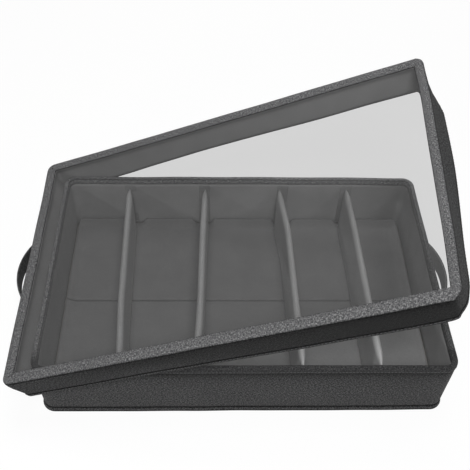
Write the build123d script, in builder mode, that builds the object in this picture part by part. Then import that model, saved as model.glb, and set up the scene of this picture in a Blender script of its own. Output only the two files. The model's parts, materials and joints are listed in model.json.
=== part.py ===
from build123d import *
from math import asin, cos, radians, sin, tan
import os

# A fabric cutlery storage box: a stiff tray with five compartments, two strap handles
# and a lift-off lid with a clear window. The lid is hooked over the left wall and held
# open. Millimetres, +Z up, origin on the table under the middle of the tray.

# Tray, outside
base_width = 400.0
base_depth = 254.0
base_height = 78.0
base_corner_radius = 12.0

# Layers of the tray's walls, from the outside in
cover_thickness = 0.8
wall_board_thickness = 3.0
lining_thickness = 0.8
wall_thickness = cover_thickness + wall_board_thickness + lining_thickness
lining_inset = cover_thickness + wall_board_thickness

# Bindings sewn round the tray's top and bottom edges
rim_binding_outside = 7.0
rim_binding_inside = 8.0
hem_height = 4.5

# Floor of the tray
floor_board_thickness = 3.0
insert_thickness = 2.4
insert_clearance = 2.5
fold_y = 3.5
fold_gap = 0.8

# Dividers, hung between strips of loop tape on the front and back walls
divider_places = (-125.0, -43.4, 52.4, 127.0)
divider_turns = (1.2, -0.9, 1.1, 1.3)
divider_thickness = 6.0
divider_cover_thickness = 1.4
divider_top = 70.0
divider_corner_radius = 16.0
divider_lift = 0.3
divider_end_clearance = 0.3
loop_strip_width = 13.0
loop_strip_thickness = 0.8
loop_strip_margin = 2.0
hook_tab_thickness = 0.6
hook_tab_height = 38.0
hook_tab_margin = 4.0

# Strap handles
strap_width = 22.0
strap_thickness = 1.8
strap_bottom = 12.0
strap_middle_y = 24.0
strap_sewn_length = 16.0
strap_root_reach = 12.0
strap_joint_gap = 0.3
left_strap_reach = 45.0
left_strap_half_span = 60.0
right_strap_reach = 28.5
right_strap_half_span = 48.0

# Lid
lid_clearance = 3.6
lid_seat_gap = 1.0
lid_corner_radius = 16.0
lid_cover_thickness = 0.8
lid_board_thickness = 1.8
lid_lining_thickness = 0.8
lid_wall_thickness = lid_cover_thickness + lid_board_thickness + lid_lining_thickness
lid_height = 38.0
lid_hem_height = 5.0
border_width = 11.5
border_thickness = 1.2
film_thickness = 0.4
film_seam = 6.0
facing_thickness = 0.9

# How the lid leans while it is held open
lid_tilt = 23.34
lid_axis_turn = 9.9
lid_axis_rise = 4.8
skirt_wall_clearance = 0.6
lid_rim_clearance = 0.8

# Heights and outlines that follow
floor_board_bottom = cover_thickness
floor_board_top = floor_board_bottom + floor_board_thickness
floor_top = floor_board_top + insert_thickness
rim_cap_bottom = base_height - cover_thickness
lining_top = base_height - rim_binding_inside
cover_top = base_height - rim_binding_outside
inner_width = base_width - 2 * wall_thickness
inner_depth = base_depth - 2 * wall_thickness
lid_width = base_width + 2 * (lid_clearance + lid_wall_thickness)
lid_depth = base_depth + 2 * (lid_clearance + lid_wall_thickness)
lid_top_thickness = facing_thickness + film_thickness + border_thickness
lid_skirt_drop = lid_height - lid_top_thickness
divider_bottom = floor_top + divider_lift
strip_bottom = floor_top + loop_strip_margin
strip_top = lining_top - loop_strip_margin
hang_length = inner_depth - 2 * (loop_strip_thickness + divider_end_clearance)
divider_length = hang_length - 2 * hook_tab_thickness

os.makedirs("parts", exist_ok=True)


# The outline of the tray or the lid, moved in by an inset.
def outline(width, depth, radius, inset, mode=Mode.ADD):
    RectangleRounded(width - 2 * inset, depth - 2 * inset, radius - inset, mode=mode)


def base_ring(outer_inset, inner_inset):
    outline(base_width, base_depth, base_corner_radius, outer_inset)
    outline(base_width, base_depth, base_corner_radius, inner_inset, Mode.SUBTRACT)


def lid_ring(outer_inset, inner_inset):
    outline(lid_width, lid_depth, lid_corner_radius, outer_inset)
    outline(lid_width, lid_depth, lid_corner_radius, inner_inset, Mode.SUBTRACT)


# The lid's hinge line. A closed lid turns about it to the place where its left skirt
# hooks behind the left wall and its top clears the rim at the front left corner.
lid_axis = Vector(
    -sin(radians(lid_axis_turn)) * cos(radians(lid_axis_rise)),
    cos(radians(lid_axis_turn)) * cos(radians(lid_axis_rise)),
    sin(radians(lid_axis_rise)),
)


def turned(point):
    return Vector(*point).rotate(Axis((0, 0, 0), lid_axis), -lid_tilt)


closed_seat = base_height + lid_seat_gap
hooked_edge = (
    -(lid_width / 2 - lid_wall_thickness),
    lid_depth / 2 - lid_wall_thickness,
    closed_seat - lid_skirt_drop,
)
lid_normal = turned((0, 0, 1))
x_shift = Vector(1, 0, 0) - turned((1, 0, 0))
z_shift = Vector(0, 0, 1) - turned((0, 0, 1))
rim_corner = Vector(-base_width / 2, -base_depth / 2, base_height + lid_rim_clearance)
skirt_needs = -base_width / 2 - skirt_wall_clearance - turned(hooked_edge).X
top_needs = lid_normal.dot(rim_corner - turned((0, 0, closed_seat)))
x_for_top = lid_normal.dot(x_shift)
z_for_top = lid_normal.dot(z_shift)
both = x_shift.X * z_for_top - z_shift.X * x_for_top
lid_axis_x = (skirt_needs * z_for_top - z_shift.X * top_needs) / both
lid_axis_z = (x_shift.X * top_needs - skirt_needs * x_for_top) / both
lid_axis_point = Vector(lid_axis_x, 0, lid_axis_z)
seat_middle = lid_axis_point + turned(Vector(0, 0, closed_seat) - lid_axis_point)
lid_plane = Plane(origin=seat_middle, x_dir=turned((1, 0, 0)), z_dir=lid_normal)

# Outer cover of the tray's walls, between the two bindings
with BuildPart() as base_cover:
    with BuildSketch(Plane.XY.offset(hem_height)):
        base_ring(0, cover_thickness)
    extrude(amount=cover_top - hem_height)
base_cover.part.label = "base_cover"
export_step(base_cover.part, "parts/base_cover.step")

# Hem that closes the cover round the bottom edge
with BuildPart() as base_hem:
    with BuildSketch(Plane.XY):
        base_ring(0, cover_thickness)
    extrude(amount=hem_height)
base_hem.part.label = "base_hem"
export_step(base_hem.part, "parts/base_hem.step")

# Fabric under the floor
with BuildPart() as base_underside:
    with BuildSketch(Plane.XY):
        outline(base_width, base_depth, base_corner_radius, cover_thickness)
    extrude(amount=cover_thickness)
base_underside.part.label = "base_underside"
export_step(base_underside.part, "parts/base_underside.step")

# Binding folded over the rim, longer inside than outside
with BuildPart() as rim_binding:
    with BuildSketch(Plane.XY.offset(rim_cap_bottom)):
        base_ring(0, wall_thickness)
    extrude(amount=base_height - rim_cap_bottom)
    with BuildSketch(Plane.XY.offset(cover_top)):
        base_ring(0, cover_thickness)
    extrude(amount=rim_cap_bottom - cover_top)
    with BuildSketch(Plane.XY.offset(lining_top)):
        base_ring(lining_inset, wall_thickness)
    extrude(amount=rim_cap_bottom - lining_top)
rim_binding.part.label = "rim_binding"
export_step(rim_binding.part, "parts/rim_binding.step")

# Lining of the walls, standing on the floor board
with BuildPart() as base_lining:
    with BuildSketch(Plane.XY.offset(floor_board_top)):
        base_ring(lining_inset, wall_thickness)
    extrude(amount=lining_top - floor_board_top)
base_lining.part.label = "base_lining"
export_step(base_lining.part, "parts/base_lining.step")

# Stiff boards in the front and back walls, with ends cut to the round corners
board_height = rim_cap_bottom - floor_board_bottom
long_board_y = base_depth / 2 - cover_thickness - wall_board_thickness / 2
for name, side in (("front", -1), ("back", 1)):
    with BuildPart() as wall_board:
        with BuildSketch(Plane.XY.offset(floor_board_bottom)):
            outline(base_width, base_depth, base_corner_radius, cover_thickness)
            with Locations((0, side * long_board_y)):
                Rectangle(base_width, wall_board_thickness, mode=Mode.INTERSECT)
        extrude(amount=board_height)
    wall_board.part.label = f"wall_board_{name}"
    export_step(wall_board.part, f"parts/wall_board_{name}.step")

# Stiff boards in the side walls, each in two halves that meet at the fold line
short_board_x = base_width / 2 - cover_thickness - wall_board_thickness / 2
board_end_y = base_depth / 2 - lining_inset
for name, side in (("left", -1), ("right", 1)):
    for half, start_y, end_y in (
        ("front", -board_end_y, fold_y - fold_gap / 2),
        ("back", fold_y + fold_gap / 2, board_end_y),
    ):
        with BuildPart() as wall_board:
            with BuildSketch(Plane.XY.offset(floor_board_bottom)):
                outline(base_width, base_depth, base_corner_radius, cover_thickness)
                with Locations((side * short_board_x, (start_y + end_y) / 2)):
                    Rectangle(wall_board_thickness, end_y - start_y, mode=Mode.INTERSECT)
            extrude(amount=board_height)
        wall_board.part.label = f"wall_board_{name}_{half}"
        export_step(wall_board.part, f"parts/wall_board_{name}_{half}.step")

# Stiff floor between the wall boards
with BuildPart() as floor_board:
    with BuildSketch(Plane.XY.offset(floor_board_bottom)):
        outline(base_width, base_depth, base_corner_radius, lining_inset)
    extrude(amount=floor_board_thickness)
floor_board.part.label = "floor_board"
export_step(floor_board.part, "parts/floor_board.step")

# Lined floor insert in two halves that fold along the middle of the tray
insert_inset = wall_thickness + insert_clearance
insert_edge_y = base_depth / 2 - insert_inset
for half, start_y, end_y in (
    ("front", -insert_edge_y, fold_y - fold_gap / 2),
    ("back", fold_y + fold_gap / 2, insert_edge_y),
):
    with BuildPart() as floor_insert:
        with BuildSketch(Plane.XY.offset(floor_board_top)):
            outline(base_width, base_depth, base_corner_radius, insert_inset)
            with Locations((0, (start_y + end_y) / 2)):
                Rectangle(base_width, end_y - start_y, mode=Mode.INTERSECT)
        extrude(amount=insert_thickness)
    floor_insert.part.label = f"floor_insert_{half}"
    export_step(floor_insert.part, f"parts/floor_insert_{half}.step")

# Strips of loop tape on the lining, one for each divider's end
for name, side in (("front", -1), ("back", 1)):
    strip_y = side * (inner_depth - loop_strip_thickness) / 2
    strip_places = []
    for place, turn in zip(divider_places, divider_turns):
        strip_places.append((place - strip_y * tan(radians(turn)), strip_y))
    with BuildPart() as loop_strips:
        with BuildSketch(Plane.XY.offset(strip_bottom)):
            with Locations(*strip_places):
                Rectangle(loop_strip_width, loop_strip_thickness)
        extrude(amount=strip_top - strip_bottom)
    loop_strips.part.label = f"loop_strips_{name}"
    export_step(loop_strips.part, f"parts/loop_strips_{name}.step")


# A divider's side view, with round upper corners, moved in by an inset all round its top.
# Each divider is turned a little about its upright middle, as the hook tape lets it be.
def divider_face(inset):
    height = divider_top - divider_bottom - inset
    with Locations((0, divider_bottom + height / 2)):
        Rectangle(divider_length - 2 * inset, height)
    fillet(vertices().group_by(Axis.Y)[-1], divider_corner_radius - inset)


board_thickness = divider_thickness - 2 * divider_cover_thickness
hook_tab_y = (divider_length + hook_tab_thickness) / 2
for number, place in enumerate(divider_places, start=1):
    turned = Location((place, 0, 0), (0, 0, divider_turns[number - 1]))
    upright = Plane(turned * Plane.YZ.location)
    level = Plane(turned * Location((0, 0, divider_bottom + hook_tab_margin)))

    # Stiff core of the divider
    with BuildPart() as divider_board:
        with BuildSketch(upright):
            divider_face(divider_cover_thickness)
        extrude(amount=board_thickness / 2, both=True)
    divider_board.part.label = f"divider_{number}_board"
    export_step(divider_board.part, f"parts/divider_{number}_board.step")

    # Soft cover folded over the core and open below
    with BuildPart() as divider_cover:
        with BuildSketch(upright):
            divider_face(0)
        extrude(amount=divider_thickness / 2, both=True)
        with BuildSketch(upright):
            divider_face(divider_cover_thickness)
        extrude(amount=board_thickness / 2, both=True, mode=Mode.SUBTRACT)
    divider_cover.part.label = f"divider_{number}_cover"
    export_step(divider_cover.part, f"parts/divider_{number}_cover.step")

    # Hook tape on both ends
    with BuildPart() as divider_tabs:
        with BuildSketch(level):
            with Locations((0, -hook_tab_y), (0, hook_tab_y)):
                Rectangle(divider_thickness, hook_tab_thickness)
        extrude(amount=hook_tab_height)
    divider_tabs.part.label = f"divider_{number}_tabs"
    export_step(divider_tabs.part, f"parts/divider_{number}_tabs.step")

# Strap handles. The middle of each strap is an arc, and each end curves back to the wall
# and is sewn flat against it.
wall_x = base_width / 2
for name, side, reach, half_span in (
    ("left", -1, left_strap_reach, left_strap_half_span),
    ("right", 1, right_strap_reach, right_strap_half_span),
):
    rise = reach - strap_root_reach
    arc_radius = (half_span**2 + rise**2) / (2 * rise)
    end_angle = asin(half_span / arc_radius)
    root_radius = (strap_root_reach - strap_thickness / 2) / (1 - cos(end_angle))
    sewn_start = half_span + root_radius * sin(end_angle)
    arc_middle = (side * (wall_x + reach - arc_radius), strap_middle_y)
    root_middle_x = side * (wall_x + strap_thickness / 2 + root_radius)

    # Loop that a hand lifts
    with BuildPart() as strap_loop:
        with BuildSketch(Plane.XY.offset(strap_bottom)):
            with Locations(arc_middle):
                Circle(arc_radius + strap_thickness / 2)
                Circle(arc_radius - strap_thickness / 2, mode=Mode.SUBTRACT)
            loop_start = wall_x + strap_root_reach + strap_joint_gap
            with Locations((side * (loop_start + reach), strap_middle_y)):
                Rectangle(2 * reach, 4 * half_span, mode=Mode.INTERSECT)
        extrude(amount=strap_width)
    strap_loop.part.label = f"handle_{name}"
    export_step(strap_loop.part, f"parts/handle_{name}.step")

    # Ends sewn to the side wall
    with BuildPart() as strap_ends:
        with BuildSketch(Plane.XY.offset(strap_bottom)):
            for way in (-1, 1):
                with Locations((root_middle_x, strap_middle_y + way * sewn_start)):
                    Circle(root_radius + strap_thickness / 2)
                    Circle(root_radius - strap_thickness / 2, mode=Mode.SUBTRACT)
            root_depth = sewn_start - half_span
            root_x = side * (wall_x + strap_root_reach / 2)
            root_offset = half_span + root_depth / 2
            root_places = [(root_x, strap_middle_y + way * root_offset) for way in (-1, 1)]
            with Locations(*root_places):
                Rectangle(strap_root_reach, root_depth, mode=Mode.INTERSECT)
            for way in (-1, 1):
                sewn_y = strap_middle_y + way * (sewn_start + strap_sewn_length / 2)
                with Locations((side * (wall_x + strap_thickness / 2), sewn_y)):
                    Rectangle(strap_thickness, strap_sewn_length)
        extrude(amount=strap_width)
    strap_ends.part.label = f"handle_{name}_ends"
    export_step(strap_ends.part, f"parts/handle_{name}_ends.step")

# Fabric border of the lid's top, round the window
with BuildPart() as lid_border:
    with BuildSketch(lid_plane.offset(facing_thickness + film_thickness)):
        lid_ring(0, border_width)
    extrude(amount=border_thickness)
lid_border.part.label = "lid_border"
export_step(lid_border.part, "parts/lid_border.step")

# Clear film, sewn between the border and its facing
film_inset = border_width - film_seam
with BuildPart() as lid_window:
    with BuildSketch(lid_plane.offset(facing_thickness)):
        outline(lid_width, lid_depth, lid_corner_radius, film_inset)
    extrude(amount=film_thickness)
lid_window.part.label = "lid_window"
export_step(lid_window.part, "parts/lid_window.step")

# Facing under the film's edge, which joins the border to the skirt's lining
with BuildPart() as lid_facing:
    with BuildSketch(lid_plane):
        lid_ring(lid_cover_thickness, border_width)
    extrude(amount=facing_thickness)
    with BuildSketch(lid_plane.offset(facing_thickness)):
        lid_ring(lid_cover_thickness, film_inset)
    extrude(amount=film_thickness)
lid_facing.part.label = "lid_facing"
export_step(lid_facing.part, "parts/lid_facing.step")

# Outer cover of the lid's skirt
skirt_cover_drop = lid_skirt_drop - lid_hem_height
with BuildPart() as lid_cover:
    with BuildSketch(lid_plane.offset(-skirt_cover_drop)):
        lid_ring(0, lid_cover_thickness)
    extrude(amount=skirt_cover_drop + facing_thickness + film_thickness)
lid_cover.part.label = "lid_cover"
export_step(lid_cover.part, "parts/lid_cover.step")

# Hem folded under the skirt's lower edge
with BuildPart() as lid_hem:
    with BuildSketch(lid_plane.offset(-lid_skirt_drop)):
        lid_ring(0, lid_wall_thickness)
    extrude(amount=lid_hem_height)
lid_hem.part.label = "lid_hem"
export_step(lid_hem.part, "parts/lid_hem.step")

# Lining of the skirt
lid_lining_inset = lid_cover_thickness + lid_board_thickness
with BuildPart() as lid_lining:
    with BuildSketch(lid_plane.offset(-skirt_cover_drop)):
        lid_ring(lid_lining_inset, lid_wall_thickness)
    extrude(amount=skirt_cover_drop)
lid_lining.part.label = "lid_lining"
export_step(lid_lining.part, "parts/lid_lining.step")

# Stiff boards in the lid's skirt
lid_board_x = lid_width / 2 - lid_cover_thickness - lid_board_thickness / 2
lid_board_y = lid_depth / 2 - lid_cover_thickness - lid_board_thickness / 2
lid_side_board_length = lid_depth - 2 * lid_lining_inset
for name, place, size in (
    ("front", (0, -lid_board_y), (lid_width, lid_board_thickness)),
    ("back", (0, lid_board_y), (lid_width, lid_board_thickness)),
    ("left", (-lid_board_x, 0), (lid_board_thickness, lid_side_board_length)),
    ("right", (lid_board_x, 0), (lid_board_thickness, lid_side_board_length)),
):
    with BuildPart() as lid_board:
        with BuildSketch(lid_plane.offset(-skirt_cover_drop)):
            outline(lid_width, lid_depth, lid_corner_radius, lid_cover_thickness)
            with Locations(place):
                Rectangle(*size, mode=Mode.INTERSECT)
        extrude(amount=skirt_cover_drop)
    lid_board.part.label = f"lid_board_{name}"
    export_step(lid_board.part, f"parts/lid_board_{name}.step")

print("lid hinge point", lid_axis_point, "axis", lid_axis, "tilt", lid_tilt)
print("lid seat middle", seat_middle, "across", lid_plane.x_dir, "up", lid_normal)
strap_hinge_x = wall_x + strap_root_reach + strap_joint_gap / 2
print("strap hinges at x", strap_hinge_x, "z", strap_bottom + strap_width)
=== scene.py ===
import json
import math

import bmesh
import bpy
from mathutils import Matrix, Vector, noise
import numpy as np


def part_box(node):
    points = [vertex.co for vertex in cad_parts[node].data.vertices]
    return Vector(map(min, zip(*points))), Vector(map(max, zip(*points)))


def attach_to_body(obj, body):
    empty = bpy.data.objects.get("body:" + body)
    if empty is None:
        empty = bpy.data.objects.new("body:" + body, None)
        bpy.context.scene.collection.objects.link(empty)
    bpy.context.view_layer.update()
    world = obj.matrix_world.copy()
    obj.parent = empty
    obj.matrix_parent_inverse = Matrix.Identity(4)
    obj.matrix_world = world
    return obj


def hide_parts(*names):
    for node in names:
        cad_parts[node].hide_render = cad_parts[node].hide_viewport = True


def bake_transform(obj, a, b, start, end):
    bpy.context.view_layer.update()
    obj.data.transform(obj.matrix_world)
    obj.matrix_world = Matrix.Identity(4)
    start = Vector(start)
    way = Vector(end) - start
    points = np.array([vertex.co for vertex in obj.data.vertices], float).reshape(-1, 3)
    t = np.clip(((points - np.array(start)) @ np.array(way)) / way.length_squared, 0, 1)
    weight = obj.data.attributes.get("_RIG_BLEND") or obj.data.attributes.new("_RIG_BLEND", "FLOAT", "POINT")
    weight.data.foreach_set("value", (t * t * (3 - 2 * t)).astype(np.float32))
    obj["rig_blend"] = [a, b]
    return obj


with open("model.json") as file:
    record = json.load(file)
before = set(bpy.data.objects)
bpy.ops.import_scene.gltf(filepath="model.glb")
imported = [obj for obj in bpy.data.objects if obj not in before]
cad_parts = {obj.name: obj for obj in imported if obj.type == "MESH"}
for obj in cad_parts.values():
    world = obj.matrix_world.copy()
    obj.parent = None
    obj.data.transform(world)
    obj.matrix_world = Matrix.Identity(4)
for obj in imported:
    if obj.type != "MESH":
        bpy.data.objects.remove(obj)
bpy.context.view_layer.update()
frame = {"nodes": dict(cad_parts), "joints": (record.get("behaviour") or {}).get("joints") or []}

bl_info = {
    "name": "Cutlery storage box",
    "version": (1, 0, 0),
    "blender": (4, 5, 0),
    "location": "3D View > Sidebar > Storage Box",
    "description": "Fabric cutlery box with dividers, strap handles and a window lid",
    "category": "Object",
}

MM = 0.001


def linear(code):
    """An sRGB hex value as linear red, green and blue."""
    parts = [int(code[i : i + 2], 16) / 255 for i in (1, 3, 5)]
    return [p / 12.92 if p <= 0.04045 else ((p + 0.055) / 1.055) ** 2.4 for p in parts]


class TraySizes(bpy.types.PropertyGroup):
    width: bpy.props.FloatProperty(
        name="Width", description="Outside width of the tray", default=0.4, unit="LENGTH"
    )
    depth: bpy.props.FloatProperty(
        name="Depth", description="Outside depth of the tray", default=0.254, unit="LENGTH"
    )
    corner: bpy.props.FloatProperty(
        name="Corner radius",
        description="Outside radius of the upright corners",
        default=0.012,
        unit="LENGTH",
    )
    fold: bpy.props.FloatProperty(
        name="Fold line",
        description="Where the floor and the side walls fold, from the middle towards the back",
        default=0.0035,
        unit="LENGTH",
    )
    unevenness: bpy.props.FloatProperty(
        name="Unevenness",
        description="How far the cloth strays from the boards inside it",
        default=0.0009,
        unit="LENGTH",
    )


class DividerSizes(bpy.types.PropertyGroup):
    thickness: bpy.props.FloatProperty(
        name="Thickness",
        description="Thickness of a divider before its soft cover stands off the board",
        default=0.006,
        unit="LENGTH",
    )
    corner: bpy.props.FloatProperty(
        name="Corner radius",
        description="Radius of the two upper corners",
        default=0.011,
        unit="LENGTH",
    )
    turns: bpy.props.FloatVectorProperty(
        name="Turns",
        description="How far each divider is turned on its hook tape, in degrees",
        size=4,
        default=(1.2, -0.9, 1.1, 1.3),
    )
    back_bends: bpy.props.FloatVectorProperty(
        name="Back bends",
        description="How far each divider's back end bends to the right",
        size=4,
        default=(0.0, 0.001, -0.005, -0.001),
        unit="LENGTH",
    )
    front_bends: bpy.props.FloatVectorProperty(
        name="Front bends",
        description="How far each divider's front end bends to the right",
        size=4,
        default=(0.0025, -0.0015, 0.0, 0.0),
        unit="LENGTH",
    )


class StrapSizes(bpy.types.PropertyGroup):
    width: bpy.props.FloatProperty(
        name="Width", description="Width of the strap", default=0.022, unit="LENGTH"
    )
    thickness: bpy.props.FloatProperty(
        name="Thickness", description="Thickness of the strap", default=0.0018, unit="LENGTH"
    )
    left_reach: bpy.props.FloatProperty(
        name="Left reach",
        description="How far the left strap stands out from its wall",
        default=0.045,
        unit="LENGTH",
    )
    right_reach: bpy.props.FloatProperty(
        name="Right reach",
        description="How far the right strap stands out from its wall",
        default=0.0285,
        unit="LENGTH",
    )
    middle: bpy.props.FloatProperty(
        name="Middle",
        description="How far behind the tray's middle the straps are sewn",
        default=0.024,
        unit="LENGTH",
    )
    height: bpy.props.FloatProperty(
        name="Height",
        description="Height of the middle of the straps' width",
        default=0.023,
        unit="LENGTH",
    )
    sewn_length: bpy.props.FloatProperty(
        name="Sewn length",
        description="How much of each end lies sewn to the wall",
        default=0.016,
        unit="LENGTH",
    )


class LidSizes(bpy.types.PropertyGroup):
    width: bpy.props.FloatProperty(
        name="Width", description="Outside width of the lid", default=0.414, unit="LENGTH"
    )
    depth: bpy.props.FloatProperty(
        name="Depth", description="Outside depth of the lid", default=0.268, unit="LENGTH"
    )
    corner: bpy.props.FloatProperty(
        name="Corner radius",
        description="Outside radius of the lid's corners",
        default=0.016,
        unit="LENGTH",
    )
    window_inset: bpy.props.FloatProperty(
        name="Window inset",
        description="How far the film's edge lies inside the lid's edge",
        default=0.0055,
        unit="LENGTH",
    )
    unevenness: bpy.props.FloatProperty(
        name="Unevenness",
        description="How far the lid's cloth strays from its boards",
        default=0.0008,
        unit="LENGTH",
    )
    seat: bpy.props.FloatProperty(
        name="Seat", description="Height of the closed lid's facing", default=0.079, unit="LENGTH"
    )


class Stitching(bpy.types.PropertyGroup):
    pitch: bpy.props.FloatProperty(
        name="Pitch", description="From one stitch to the next", default=0.0033, unit="LENGTH"
    )
    length: bpy.props.FloatProperty(
        name="Length", description="Length of a stitch", default=0.0025, unit="LENGTH"
    )
    thickness: bpy.props.FloatProperty(
        name="Thickness", description="Thickness of the thread", default=0.0005, unit="LENGTH"
    )


class Finishes(bpy.types.PropertyGroup):
    linen_dark: bpy.props.FloatVectorProperty(
        name="Dark linen yarn",
        description="The darkest yarn in the outer cloth",
        subtype="COLOR",
        default=linear("#252527"),
    )
    linen_middle: bpy.props.FloatVectorProperty(
        name="Linen yarn",
        description="The common yarn in the outer cloth",
        subtype="COLOR",
        default=linear("#4b4b4c"),
    )
    linen_light: bpy.props.FloatVectorProperty(
        name="Light linen yarn",
        description="The lightest yarn in the outer cloth",
        subtype="COLOR",
        default=linear("#848484"),
    )
    lining: bpy.props.FloatVectorProperty(
        name="Lining",
        description="The lining's colour",
        subtype="COLOR",
        default=linear("#bebebe"),
    )
    divider: bpy.props.FloatVectorProperty(
        name="Divider cloth",
        description="The dividers' colour",
        subtype="COLOR",
        default=linear("#cccccc"),
    )
    insert: bpy.props.FloatVectorProperty(
        name="Floor insert",
        description="The colour of the cloth on the floor insert",
        subtype="COLOR",
        default=linear("#909090"),
    )
    tape: bpy.props.FloatVectorProperty(
        name="Hook and loop tape",
        description="The colour of the tape that holds the dividers",
        subtype="COLOR",
        default=linear("#a8a8a8"),
    )
    board: bpy.props.FloatVectorProperty(
        name="Greyboard",
        description="The colour of the stiff boards",
        subtype="COLOR",
        default=linear("#8e8d8a"),
    )
    thread: bpy.props.FloatVectorProperty(
        name="Thread",
        description="The colour of the sewing thread",
        subtype="COLOR",
        default=linear("#747475"),
    )
    film: bpy.props.FloatVectorProperty(
        name="Film",
        description="The grey cast of the clear film",
        subtype="COLOR",
        default=linear("#686868"),
    )
    film_alpha: bpy.props.FloatProperty(
        name="Film density",
        description="How much of the view one face of the film hides",
        default=0.205,
        min=0.0,
        max=1.0,
        subtype="FACTOR",
    )


class Studio(bpy.types.PropertyGroup):
    floor: bpy.props.FloatVectorProperty(
        name="Floor",
        description="Colour of the floor",
        subtype="COLOR",
        default=linear("#ffffff"),
    )
    top_power: bpy.props.FloatProperty(
        name="Top lamp", description="Power of the lamp overhead", default=6.8, unit="POWER"
    )
    front_power: bpy.props.FloatProperty(
        name="Front lamp", description="Power of the lamp above the front", default=8.4, unit="POWER"
    )
    side_power: bpy.props.FloatProperty(
        name="Side lamps", description="Power of each small lamp", default=0.85, unit="POWER"
    )
    ambient: bpy.props.FloatProperty(
        name="Ambient light", description="Strength of the light from all round", default=0.035
    )
    lens: bpy.props.FloatProperty(
        name="Lens", description="Focal length in millimetres", default=55.36
    )
    camera_place: bpy.props.FloatVectorProperty(
        name="Camera place",
        description="Where the camera stands",
        subtype="TRANSLATION",
        default=(-0.0317, -0.471, 0.6647),
    )
    camera_pitch: bpy.props.FloatProperty(
        name="Pitch",
        description="How far down the camera looks",
        subtype="ANGLE",
        default=math.radians(49.04),
    )
    camera_yaw: bpy.props.FloatProperty(
        name="Yaw",
        description="How far the camera turns from the depth axis",
        subtype="ANGLE",
        default=math.radians(-2.69),
    )
    camera_roll: bpy.props.FloatProperty(
        name="Roll",
        description="How far the camera leans about its view line",
        subtype="ANGLE",
        default=math.radians(2.23),
    )


def settings(name):
    """One of the groups of sizes and colours."""
    return getattr(bpy.context.scene, "storage_box_" + name)


def add(tree, kind, inputs=None, **choices):
    """Adds a node with its settings, and fills or links its inputs."""
    node = tree.nodes.new(kind)
    for name, value in choices.items():
        setattr(node, name, value)
    for socket, value in (inputs or {}).items():
        if isinstance(value, bpy.types.NodeSocket):
            tree.links.new(value, node.inputs[socket])
        else:
            node.inputs[socket].default_value = value
    return node


def blank_material(name):
    """A new material with no nodes in it."""
    material = bpy.data.materials.new(name)
    material.use_nodes = True
    material.node_tree.nodes.clear()
    return material, material.node_tree


def opaque(colour):
    """A colour property with full alpha."""
    return (*colour, 1.0)


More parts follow.
